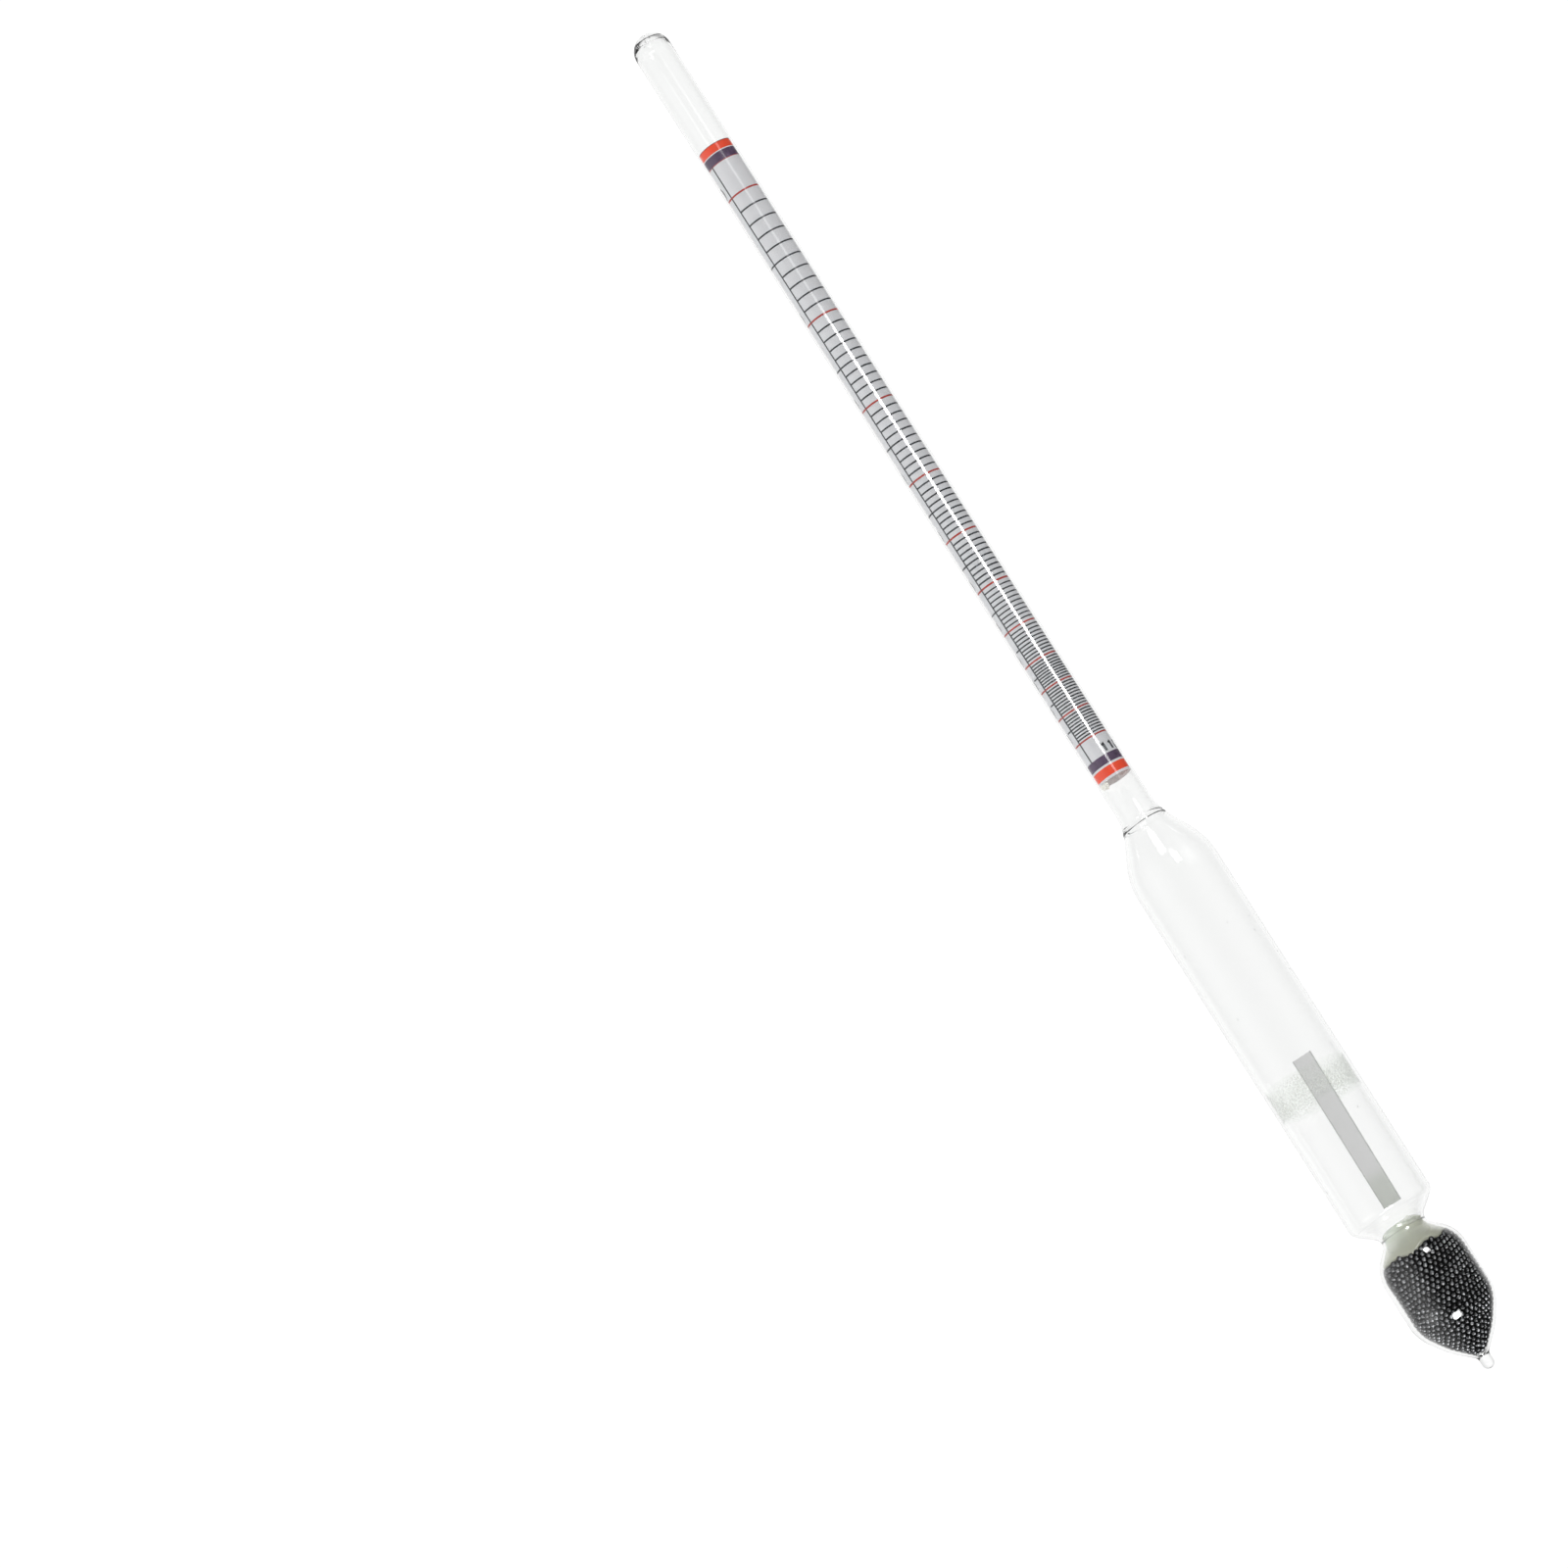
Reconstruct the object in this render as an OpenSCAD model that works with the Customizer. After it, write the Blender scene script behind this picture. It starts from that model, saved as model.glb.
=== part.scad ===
// Glass alcohol hydrometer with a paper scale in the stem and steel shot in the bulb.
// Millimetres, +Z up along the axis. The origin is the lowest point of the sealing nib.

/* [Overall] */
// Height from the tip of the nib to the top of the stem
total_h = 280; // [230:1:320]

/* [Stem] */
// Outside diameter of the stem
stem_d = 7; // [6.2:0.1:7.6]
// Wall thickness of the stem
stem_wall = 0.3; // [0.3:0.05:0.5]
// Glass left above the bore where the stem is sealed
dome_t = 1.2; // [0.8:0.1:3]
// Height of the ring where the stem is welded to the float
weld_z = 110.5; // [110.5:0.1:112.5]

/* [Float] */
// Outside diameter of the float
body_d = 16; // [15:0.1:18]
// Wall thickness of the float
body_wall = 0.5; // [0.4:0.05:0.8]
// Height where the lines of the body and the shoulder cross
body_top_z = 102.7; // [90:0.1:104]
// Height where the lines of the shoulder and the stem cross
neck_z = 111.6; // [111:0.1:112.4]

/* [Ballast bulb] */
// Outside diameter of the ballast bulb
bulb_d = 16; // [15:0.1:16]
// Outside diameter of the waist between float and bulb
waist_d = 8.7; // [8:0.1:9.2]
// Diameter of the nib where the tube was drawn off and sealed
nib_d = 2.2; // [1.8:0.1:2.6]
// Height of the inside floor, above the sealed tip
floor_z = 3; // [2.8:0.1:3.6]

/* [Ballast] */
// Height of the top of the shot
shot_top_z = 23.7; // [18:0.1:25]
// Height of the top of the resin that holds the shot
resin_top_z = 28.9; // [28.5:0.1:32]

/* [Scale] */
// Height of the lower edge of the rolled scale
scale_z = 119.7; // [117:0.1:140]
// Length of the rolled scale
scale_h = 135.3; // [80:0.1:136]
// Outside diameter of the rolled scale
scale_d = 6.36; // [4.8:0.02:6.38]
// Thickness of the scale paper
paper_t = 0.1; // [0.08:0.01:0.14]
// Turns of paper in the roll
scale_turns = 1.2; // [1.05:0.05:2]

/* [Name strip] */
// Height of the lower edge of the strip
strip_z = 32.5; // [31.8:0.1:50]
// Length of the strip
strip_h = 30.1; // [15:0.1:40]
// Width of the strip
strip_w = 3.5; // [2:0.1:6]
// Thickness of the strip
strip_t = 0.12; // [0.08:0.01:0.2]
// Lean of the strip from the axis
strip_lean = 0.8; // [0:0.05:0.8]
// Height of the lower edge of the adhesive ring
band_z = 52.9; // [50:0.1:80]
// Height of the adhesive ring
band_h = 6.3; // [3:0.1:10]

/* [Hidden] */

$fn = 96;
arc_step = 5;       // angle between points on a rounded corner
sheet_steps = 4;    // facets in each half of a curved sheet
same_point = 1e-6;  // points nearer than this are one point
cling = 0.01;       // gap between a bonded piece and the glass
overcut = 1;        // how far a cutting shape passes the piece it cuts

stem_r = stem_d / 2;
stem_bore_r = stem_r - stem_wall;
dome_z = total_h - dome_t;
body_r = body_d / 2;
bore_r = body_r - body_wall;
bulb_r = bulb_d / 2;
waist_r = waist_d / 2;
nib_r = nib_d / 2;

// The bulb narrows in two cones: a long shallow one, then a steeper one down to the nib.
taper_top_z = 10.7;
taper_knee_z = 5.8;
taper_knee_r = 0.58 * bulb_r;
nib_top_z = 2.5;
bulb_top_z = 23.1;
waist_low_z = 26.7;
waist_high_z = 28.1;
body_low_z = 31;

// Radii of the rounded corners, where the glass was drawn in the flame.
neck_round = 12;
shoulder_round = 13;
body_low_round = 2;
waist_round = 1.6;
bulb_top_round = 6.5;
taper_round = 8;
knee_round = 12;
nib_round = 1.2;
floor_round = 1;

scale_r = scale_d / 2;
turn_gap = 0.02;
roll_pitch = paper_t + turn_gap;
roll_seam = 70;
glue_d = 1.7;
glue_angle = 215;
glue_drop = glue_d / 4;
band_t = 0.08;
strip_r = bore_r - band_t - 2 * cling;
strip_x = 1.14;

// ---- outlines: lists of [radius, height], from the bottom to the top ----

function unit(v) = v / norm(v);
function turned(v, a) = [v[0] * cos(a) - v[1] * sin(a), v[0] * sin(a) + v[1] * cos(a)];
function point(corner) = [corner[0], corner[1]];

// Points of the arc of radius r that rounds the corner b between a and c.
function corner_arc(a, b, c, r) =
    let (u = unit(a - b), v = unit(c - b),
         half = acos(u * v) / 2,
         centre = b + unit(u + v) * r / sin(half),
         from = b + u * r / tan(half) - centre,
         sweep = (180 - 2 * half) * sign(cross(b - a, c - b)),
         steps = ceil(abs(sweep) / arc_step))
    [for (k = [0 : steps]) centre + turned(from, sweep * k / steps)];

// Drops a point that repeats the one before it.
function distinct(path) =
    [for (i = [0 : len(path) - 1])
        if (i == 0 || norm(path[i] - path[max(i - 1, 0)]) > same_point) path[i]];

// A path through corners [radius, height, rounding]; its two ends are never rounded.
function rounded(corners) =
    let (last = len(corners) - 1)
    distinct([for (i = [0 : last])
        each (i == 0 || i == last) ? [point(corners[i])]
           : corner_arc(point(corners[i - 1]), point(corners[i]), point(corners[i + 1]), corners[i][2])]);

// Unit vector from the line a-b towards the axis side.
function inward(a, b) = let (d = unit(b - a)) [-d[1], d[0]];

// Corner i of the outside, moved inwards by the wall thickness t, with its rounding to match.
function inner_corner(corners, i, t) =
    let (a = point(corners[i - 1]), b = point(corners[i]), c = point(corners[i + 1]),
         m = inward(a, b), n = inward(b, c),
         p = b + t * (m + n) / (1 + m * n))
    [p[0], p[1], corners[i][2] - t * sign(cross(b - a, c - b))];

function radius_at(path, z) = lookup(z, [for (p = path) [p[1], p[0]]]);

// The stretch of a path between two heights.
function between(path, low, high) =
    distinct(concat([[radius_at(path, low), low]],
                    [for (p = path) if (p[1] > low && p[1] < high) p],
                    [[radius_at(path, high), high]]));

function reversed(path) = [for (i = [len(path) - 1 : -1 : 0]) path[i]];
function narrowed(path, t) = [for (p = path) [max(p[0] - t, 0), p[1]]];

outside_corners = [
    [0, 0, 0],
    [nib_r, 0, nib_r],
    [nib_r, nib_top_z, nib_round],
    [taper_knee_r, taper_knee_z, knee_round],
    [bulb_r, taper_top_z, taper_round],
    [bulb_r, bulb_top_z, bulb_top_round],
    [waist_r, waist_low_z, waist_round],
    [waist_r, waist_high_z, waist_round],
    [body_r, body_low_z, body_low_round],
    [body_r, body_top_z, shoulder_round],
    [stem_r, neck_z, neck_round],
    [stem_r, total_h, stem_r],
    [0, total_h, 0]];

first_walled = 3;
neck = 10;

// Where the cavity's floor meets the inside of the lower cone.
floor_cone = inner_corner(outside_corners, first_walled, body_wall);
cone_run = outside_corners[first_walled] - outside_corners[first_walled - 1];
floor_r = floor_cone[0] - (floor_cone[1] - floor_z) * cone_run[0] / cone_run[1];

inside_corners = concat(
    [[0, floor_z, 0], [floor_r, floor_z, floor_round]],
    [for (i = [first_walled : neck - 1]) inner_corner(outside_corners, i, body_wall)],
    [inner_corner(outside_corners, neck, stem_wall)],
    [[stem_bore_r, dome_z, stem_bore_r], [0, dome_z, 0]]);

outside = rounded(outside_corners);
inside = rounded(inside_corners);

module turned_solid(path) {
    rotate_extrude() polygon(path);
}

// A solid that fills the cavity between two heights.
module cavity_fill(low, high) {
    wall = narrowed(between(inside, low, high), cling);
    turned_solid(concat([[0, low]], [for (p = wall) if (p[0] > 0) p], [[0, high]]));
}

// Points along one face of a rolled sheet; inset is 0 for its outer face.
function roll_face(inset) =
    [for (a = [0 : arc_step : 360 * scale_turns])
        (scale_r - inset - roll_pitch * a / 360) * [cos(a), sin(a)]];

// Section of a sheet that lies against a round wall of radius r, centred on +Y.
module curved_sheet(r, width, t) {
    half = asin(width / 2 / r);
    arc = [for (k = [-sheet_steps : sheet_steps]) 90 + half * k / sheet_steps];
    polygon(concat([for (a = arc) r * [cos(a), sin(a)]],
                   [for (a = reversed(arc)) (r - t) * [cos(a), sin(a)]]));
}

// ---- the pieces ----

module stem_tube() {
    color("azure", 0.35)
        turned_solid(concat(between(outside, weld_z, total_h), reversed(between(inside, weld_z, dome_z))));
}

module float_tube() {
    color("lightcyan", 0.35)
        turned_solid(concat(between(outside, 0, weld_z), reversed(between(inside, floor_z, weld_z))));
}

module scale_roll() {
    color("white")
        translate([0, 0, scale_z]) rotate([0, 0, roll_seam])
            linear_extrude(scale_h) polygon(concat(roll_face(0), reversed(roll_face(paper_t))));
}

// A dab that hangs from the lower end of the roll and bonds it to the stem's bore.
module scale_glue() {
    inner_r = scale_r - roll_pitch * scale_turns - paper_t - cling;
    color("ivory")
        difference() {
            intersection() {
                rotate([0, 0, glue_angle]) translate([inner_r, 0, scale_z - glue_drop]) sphere(d = glue_d);
                translate([0, 0, scale_z - glue_d]) cylinder(r = stem_bore_r - cling, h = 2 * glue_d);
            }
            translate([0, 0, scale_z - cling])
                difference() {
                    cylinder(r = stem_r, h = glue_d);
                    translate([0, 0, -overcut]) cylinder(r = inner_r, h = glue_d + 2 * overcut);
                }
        }
}

module name_strip() {
    color("gainsboro")
        translate([0, 0, strip_z + strip_h / 2])
            rotate([0, 0, -asin(strip_x / strip_r)]) rotate([0, strip_lean, 0])
                translate([0, 0, -strip_h / 2])
                    linear_extrude(strip_h) curved_sheet(strip_r, strip_w, strip_t);
}

module strip_glue_band() {
    color("honeydew", 0.6)
        translate([0, 0, band_z])
            difference() {
                cylinder(r = bore_r - cling, h = band_h);
                translate([0, 0, -overcut]) cylinder(r = bore_r - band_t, h = band_h + 2 * overcut);
            }
}

module ballast_shot() {
    color("dimgray") cavity_fill(floor_z + cling, shot_top_z - cling);
}

module ballast_resin() {
    color("darkseagreen") cavity_fill(shot_top_z, resin_top_z);
}

stem_tube();
float_tube();
scale_roll();
scale_glue();
name_strip();
strip_glue_band();
ballast_shot();
ballast_resin();
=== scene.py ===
"""Looks of a glass alcohol hydrometer: clear glass, printed scale, steel shot, resin and a name strip."""

import math

import bmesh
import bpy
import numpy as np
from mathutils import Matrix, Vector


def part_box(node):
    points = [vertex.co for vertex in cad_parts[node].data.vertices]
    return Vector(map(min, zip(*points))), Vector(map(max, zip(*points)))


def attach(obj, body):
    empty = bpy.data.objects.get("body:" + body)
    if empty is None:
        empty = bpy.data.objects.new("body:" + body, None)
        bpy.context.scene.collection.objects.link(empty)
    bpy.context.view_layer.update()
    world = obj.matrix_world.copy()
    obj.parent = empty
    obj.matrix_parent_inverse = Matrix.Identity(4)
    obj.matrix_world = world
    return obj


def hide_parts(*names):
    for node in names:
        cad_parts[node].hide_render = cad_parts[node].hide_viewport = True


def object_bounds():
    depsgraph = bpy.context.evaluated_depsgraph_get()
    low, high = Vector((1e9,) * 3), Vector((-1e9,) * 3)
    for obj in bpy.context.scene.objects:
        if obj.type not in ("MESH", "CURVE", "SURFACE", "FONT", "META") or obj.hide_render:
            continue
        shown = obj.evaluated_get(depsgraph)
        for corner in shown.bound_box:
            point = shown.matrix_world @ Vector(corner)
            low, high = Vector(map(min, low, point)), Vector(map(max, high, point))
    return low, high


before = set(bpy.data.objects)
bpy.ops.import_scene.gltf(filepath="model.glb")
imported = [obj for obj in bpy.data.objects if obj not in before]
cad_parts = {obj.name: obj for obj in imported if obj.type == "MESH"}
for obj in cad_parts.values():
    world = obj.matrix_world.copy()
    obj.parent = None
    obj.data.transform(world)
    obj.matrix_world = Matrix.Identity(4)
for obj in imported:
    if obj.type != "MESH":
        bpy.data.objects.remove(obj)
cad_low, cad_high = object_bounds()
MM = 0.001
SAME = 1e-6  # lengths and radii under this count as nothing

# ---------------------------------------------------------------- meshes


def new_object(name, mesh, body="root"):
    """Links a mesh to the scene as a piece that rides on a CAD body."""
    made = bpy.data.objects.new(name, mesh)
    bpy.context.scene.collection.objects.link(made)
    if body:
        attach(made, body)
    return made


def mesh_of(name, verts, faces, materials, smooth=True):
    mesh = bpy.data.meshes.new(name)
    mesh.from_pydata([tuple(v) for v in verts], [], faces)
    for m in materials:
        mesh.materials.append(m)
    mesh.validate()
    mesh.polygons.foreach_set("use_smooth", [smooth] * len(mesh.polygons))
    mesh.update()
    return mesh


def faces_outwards(mesh):
    """Turns the faces of a closed mesh outwards."""
    bm = bmesh.new()
    bm.from_mesh(mesh)
    bmesh.ops.recalc_face_normals(bm, faces=bm.faces)
    bm.to_mesh(mesh)
    bm.free()
    return mesh


def triangle_mesh(name, verts, triangles, material):
    """A mesh from arrays, for meshes with very many faces."""
    mesh = bpy.data.meshes.new(name)
    mesh.vertices.add(len(verts))
    mesh.vertices.foreach_set("co", np.asarray(verts, np.float32).ravel())
    mesh.loops.add(3 * len(triangles))
    mesh.loops.foreach_set("vertex_index", np.asarray(triangles, np.int32).ravel())
    mesh.polygons.add(len(triangles))
    mesh.polygons.foreach_set("loop_start", np.arange(0, 3 * len(triangles), 3, dtype=np.int32))
    mesh.update(calc_edges=True)
    mesh.polygons.foreach_set("use_smooth", [True] * len(triangles))
    mesh.materials.append(material)
    mesh.validate()
    return mesh


def wobble(angle, seed, terms=5):
    """A smooth closed curve of the angle, about -1 to 1, the same for the same seed."""
    total = 0.0
    for k in range(1, terms + 1):
        phase = math.sin(seed * 12.9898 + k * 78.233) * 43758.5453  # only its fraction is used, as a hash
        total += math.sin(k * angle + 2 * math.pi * (phase - math.floor(phase))) / k**0.7
    return total / 2.2


def section(node):
    """The outline of a turned CAD node: a chain of (radius, height) points through half of its section."""
    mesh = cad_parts[node].data
    tiny = 1e-7
    key = {}
    for v in mesh.vertices:
        if abs(v.co.y) < tiny and v.co.x > -tiny:
            key[v.index] = (round(v.co.x / MM, 4), round(v.co.z / MM, 4))
    beside = {}
    for e in mesh.edges:
        a, b = e.vertices
        if a in key and b in key and key[a] != key[b]:
            beside.setdefault(key[a], set()).add(key[b])
            beside.setdefault(key[b], set()).add(key[a])
    ends = sorted((k for k, v in beside.items() if len(v) == 1), key=lambda k: k[1])
    path, last = [ends[0]], None
    while True:
        ahead = [p for p in beside[path[-1]] if p != last]
        if not ahead:
            break
        last = path[-1]
        path.append(ahead[0])
    return path


def split_section(path, weld):
    """Cuts a node's chain at the weld face into its outside and its inside, each from low to high."""
    close = 1e-3
    cut = next(i for i in range(len(path) - 1)
               if abs(path[i][1] - weld) < close and abs(path[i + 1][1] - weld) < close)
    first, second = path[: cut + 1], path[cut + 1:]
    if first[0][1] > first[-1][1]:
        first = first[::-1]
    if second[0][1] > second[-1][1]:
        second = second[::-1]
    first_is_outside = first[-1][0] + first[0][0] > second[-1][0] + second[0][0]
    return (first, second) if first_is_outside else (second, first)


def joined_outline():
    """Outside and inside of the whole glass, in millimetres, from the nib to the dome."""
    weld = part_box("stem_tube")[0].z / MM
    low_out, low_in = split_section(section("float_tube"), weld)
    high_out, high_in = split_section(section("stem_tube"), weld)
    return low_out + high_out[1:], low_in + high_in[1:]


def cubic(t, a, b, slope_a, slope_b):
    """A smooth curve from a to b as t goes from 0 to 1, with the given slopes at its ends."""
    return ((2 * t**3 - 3 * t**2 + 1) * a + (t**3 - 2 * t**2 + t) * slope_a
            + (-2 * t**3 + 3 * t**2) * b + (t**3 - t**2) * slope_b)


def refined(path, step, turn):
    """More points along a path, at most step apart and turn degrees round: arcs become smoother."""
    p = np.array(path)
    seg = np.diff(p, axis=0)
    length = np.hypot(seg[:, 0], seg[:, 1])
    unit = seg / length[:, None]
    tangent = np.zeros_like(p)
    tangent[0], tangent[-1] = unit[0], unit[-1]
    for i in range(1, len(p) - 1):
        a, b = length[i - 1], length[i]
        # A much longer neighbour is a straight run, and an arc beside it starts along it.
        if a > 1.5 * b:
            tangent[i] = unit[i - 1]
        elif b > 1.5 * a:
            tangent[i] = unit[i]
        else:
            m = unit[i - 1] + unit[i]
            tangent[i] = m / np.hypot(*m)
    # A flat cap meets the axis square on, so its tangent there is level.
    for i in (0, -1):
        if p[i][0] < SAME:
            tangent[i] = (1, 0) if i == 0 else (-1, 0)
    out = []
    for i in range(len(seg)):
        bend = math.degrees(math.acos(max(-1, min(1, float(tangent[i] @ tangent[i + 1])))))
        n = max(1, math.ceil(bend / turn), math.ceil(length[i] / step))
        straight = bend < 0.01
        for t in np.arange(n) / n:
            if straight:
                out.append(p[i] + seg[i] * t)
            else:
                out.append(cubic(t, p[i], p[i + 1], length[i] * tangent[i], length[i] * tangent[i + 1]))
    out.append(p[-1])
    return np.array(out)


AROUND = 128  # points round the glass


def revolve(path, shape, flip):
    """Vertices and faces of a path turned round the axis; shape(angle, r, z) may move each point."""
    verts, faces, rings = [], [], []
    for r, z in path:
        if r < 1e-5:
            rings.append([len(verts)])
            verts.append(shape(0.0, 0.0, z))
        else:
            rings.append(list(range(len(verts), len(verts) + AROUND)))
            verts += [shape(2 * math.pi * k / AROUND, r, z) for k in range(AROUND)]
    for low, high in zip(rings[:-1], rings[1:]):
        for k in range(AROUND):
            n = (k + 1) % AROUND
            if len(low) == 1 and len(high) == 1:
                continue
            if len(low) == 1:
                face = (low[0], high[n], high[k])
            elif len(high) == 1:
                face = (low[k], low[n], high[0])
            else:
                face = (low[k], low[n], high[n], high[k])
            faces.append(face[::-1] if flip else face)
    return verts, faces


# ---------------------------------------------------------------- materials


def add(tree, kind, inputs=None, **settings):
    """A new node with its inputs linked or set."""
    node = tree.nodes.new(kind)
    for k, v in settings.items():
        setattr(node, k, v)
    for k, v in (inputs or {}).items():
        if isinstance(v, bpy.types.NodeSocket):
            tree.links.new(v, node.inputs[k])
        else:
            node.inputs[k].default_value = v
    return node


def blank(name):
    made = bpy.data.materials.new(name)
    made.use_nodes = True
    made.node_tree.nodes.clear()
    return made, made.node_tree


def rgba(colour):
    return (*colour, 1.0)


def noise(tree, scale, detail=3.0):
    """A grey noise, 0 to 1, in object space."""
    at = add(tree, "ShaderNodeTexCoord").outputs["Object"]
    return add(tree, "ShaderNodeTexNoise", {"Vector": at, "Scale": scale, "Detail": detail}).outputs["Fac"]


def mixed(tree, factor, a, b):
    """Colour a where factor is 0 and b where it is 1 (inputs 6 and 7 are the colours of a colour mix)."""
    return add(tree, "ShaderNodeMix", {0: factor, 6: a, 7: b}, data_type="RGBA").outputs[2]


def maths(tree, operation, a, b=0.0):
    return add(tree, "ShaderNodeMath", {0: a, 1: b}, operation=operation).outputs[0]


def product(tree, a, *others):
    for b in others:
        a = maths(tree, "MULTIPLY", a, b)
    return a


def switched(tree, switch, when_off, when_on):
    """when_off where switch is 0, when_on where it is 1."""
    return maths(tree, "ADD", product(tree, when_off, maths(tree, "SUBTRACT", 1.0, switch)),
                 product(tree, when_on, switch))


def faded(tree, clear, shader, cover):
    """The shader laid over clear by the amount cover."""
    return add(tree, "ShaderNodeMixShader", {0: cover, 1: clear.outputs[0], 2: shader.outputs[0]}).outputs[0]


def coordinates(tree, kind, output):
    """The three numbers of a place, as sockets."""
    return add(tree, "ShaderNodeSeparateXYZ", {0: add(tree, kind).outputs[output]}).outputs


def ramp(tree, value, low, high, at_low, at_high, smooth=True):
    """Maps value from low..high to at_low..at_high and holds it outside."""
    return add(tree, "ShaderNodeMapRange",
               {"Value": value, "From Min": low, "From Max": high, "To Min": at_low, "To Max": at_high},
               interpolation_type="SMOOTHSTEP" if smooth else "LINEAR").outputs["Result"]


def to_edge(tree, value):
    """How far a value is from the nearer of 0 and 1."""
    return maths(tree, "MINIMUM", value, maths(tree, "SUBTRACT", 1.0, value))


def bump(tree, height, strength, distance):
    return add(tree, "ShaderNodeBump",
               {"Height": height, "Strength": strength, "Distance": distance}).outputs["Normal"]


def out(tree, surface):
    add(tree, "ShaderNodeOutputMaterial", {"Surface": surface})


PAPER_GLOW = 0.3  # share of the light that paper lets through


def print_material(name, one, two, scale, roughness=0.6, through=None):
    """Paper or ink: two close shades in a fine noise. Paper also lets some light through."""
    made, tree = blank(name)
    colour = mixed(tree, noise(tree, scale), rgba(one), rgba(two))
    surface = add(tree, "ShaderNodeBsdfPrincipled",
                  {"Base Color": colour, "Roughness": roughness, "Specular IOR Level": 0.3,
                   "Normal": bump(tree, noise(tree, 6000), 0.2, 0.00002)}).outputs[0]
    if through:
        glow = add(tree, "ShaderNodeBsdfTranslucent", {"Color": rgba(through)})
        surface = add(tree, "ShaderNodeMixShader", {0: PAPER_GLOW, 1: surface, 2: glow.outputs[0]}).outputs[0]
    out(tree, surface)
    return made


def see_through(tree, shader, colour):
    """Lets lamps and bounced light through a clear shader in straight lines."""
    path = add(tree, "ShaderNodeLightPath")
    passing = maths(tree, "MAXIMUM", path.outputs["Is Shadow Ray"], path.outputs["Is Diffuse Ray"])
    clear = add(tree, "ShaderNodeBsdfTransparent", {"Color": colour})
    return add(tree, "ShaderNodeMixShader", {0: passing, 1: shader, 2: clear.outputs[0]}).outputs[0]


def glass_material(name, tint, deep):
    """Clear glass whose tint drifts a little between two shades."""
    made, tree = blank(name)
    colour = mixed(tree, noise(tree, 60), rgba(tint), rgba(deep))
    shader = add(tree, "ShaderNodeBsdfPrincipled",
                 {"Base Color": colour, "Roughness": 0.0, "IOR": 1.5, "Transmission Weight": 1.0,
                  "Specular IOR Level": 0.5})
    out(tree, see_through(tree, shader.outputs[0], (0.98, 0.98, 0.98, 1)))
    return made


def steel_material():
    """Dark steel: each ball has its own tone, and painted shade makes its rim nearly black, as it faces other
    balls that would shade it.
    """
    made, tree = blank("dark_steel")
    island = add(tree, "ShaderNodeNewGeometry").outputs["Random Per Island"]
    colour = mixed(tree, island, rgba((0.045, 0.045, 0.047)), rgba((0.18, 0.183, 0.19)))
    # Painted shade: towards its rim each ball's colour fades to near black, in place of the shade its
    # neighbours cast.
    away = add(tree, "ShaderNodeLayerWeight", {"Blend": 0.5}).outputs["Facing"]
    colour = mixed(tree, ramp(tree, away, 0.22, 0.56, 0.0, 1.0), colour, rgba((0.008, 0.008, 0.009)))
    rough = ramp(tree, noise(tree, 2500), 0.3, 0.7, 0.29, 0.35)
    shader = add(tree, "ShaderNodeBsdfPrincipled",
                 {"Base Color": colour, "Metallic": 1.0, "Roughness": rough,
                  "Specular Tint": rgba((0.1, 0.1, 0.1))})
    out(tree, shader.outputs[0])
    return made


def resin_material():
    """Cloudy resin: paler on the left, browner on the right, with painted shade that darkens it near the
    shot.
    """
    made, tree = blank("cloudy_resin")
    place = coordinates(tree, "ShaderNodeTexCoord", "Object")
    side = ramp(tree, place["X"], -6 * MM, 6 * MM, 0.0, 1.0)
    height = ramp(tree, place["Z"], 23 * MM, 29.5 * MM, 0.0, 1.0)
    cloud = noise(tree, 420, 4.0)
    left = mixed(tree, cloud, rgba((0.70, 0.79, 0.72)), rgba((0.84, 0.90, 0.82)))
    right = mixed(tree, cloud, rgba((0.47, 0.485, 0.375)), rgba((0.63, 0.64, 0.52)))
    body = mixed(tree, side, left, right)
    # Painted shade: the colour darkens downwards towards the shot, in place of the shade of the dark steel
    # below.
    colour = mixed(tree, height, rgba((0.43, 0.44, 0.36)), body)
    shader = add(tree, "ShaderNodeBsdfPrincipled",
                 {"Base Color": colour, "Roughness": 0.22, "Subsurface Weight": 0.35,
                  "Subsurface Radius": (1.0, 1.0, 0.8), "Subsurface Scale": 1.2 * MM,
                  "Normal": bump(tree, noise(tree, 700, 2.0), 0.35, 0.0003)})
    # The last millimetre and a half thins out to a haze.
    level = maths(tree, "ADD", place["Z"], product(tree, maths(tree, "SUBTRACT", cloud, 0.5), 3 * MM))
    cover = ramp(tree, level, (RESIN_TOP - 1.5) * MM, (RESIN_TOP + 0.2) * MM, 1.0, 0.15)
    clear = add(tree, "ShaderNodeBsdfTransparent", {"Color": (0.95, 0.96, 0.94, 1)})
    out(tree, faded(tree, clear, shader, cover))
    return made


def film_material():
    """A patchy frosted film: mostly clear, with grains and creases, fading out at its two edges."""
    made, tree = blank("frosted_film")
    height = coordinates(tree, "ShaderNodeUVMap", "UV")["Y"]
    patches = ramp(tree, noise(tree, 260, 2.0), 0.35, 0.7, 0.35, 1.0)
    grains = ramp(tree, noise(tree, 3600, 2.0), 0.42, 0.62, 0.10, 1.0)
    cover = product(tree, patches, grains, ramp(tree, to_edge(tree, height), 0.0, 0.22, 0.0, 0.33))
    colour = mixed(tree, noise(tree, 1200), rgba((0.62, 0.66, 0.58)), rgba((0.95, 0.97, 0.92)))
    frost = add(tree, "ShaderNodeBsdfPrincipled",
                {"Base Color": colour, "Roughness": 0.5, "Normal": bump(tree, grains, 0.5, 0.0002)})
    clear = add(tree, "ShaderNodeBsdfTransparent", {"Color": (0.985, 0.99, 0.985, 1)})
    out(tree, faded(tree, clear, frost, cover))
    return made


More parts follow.
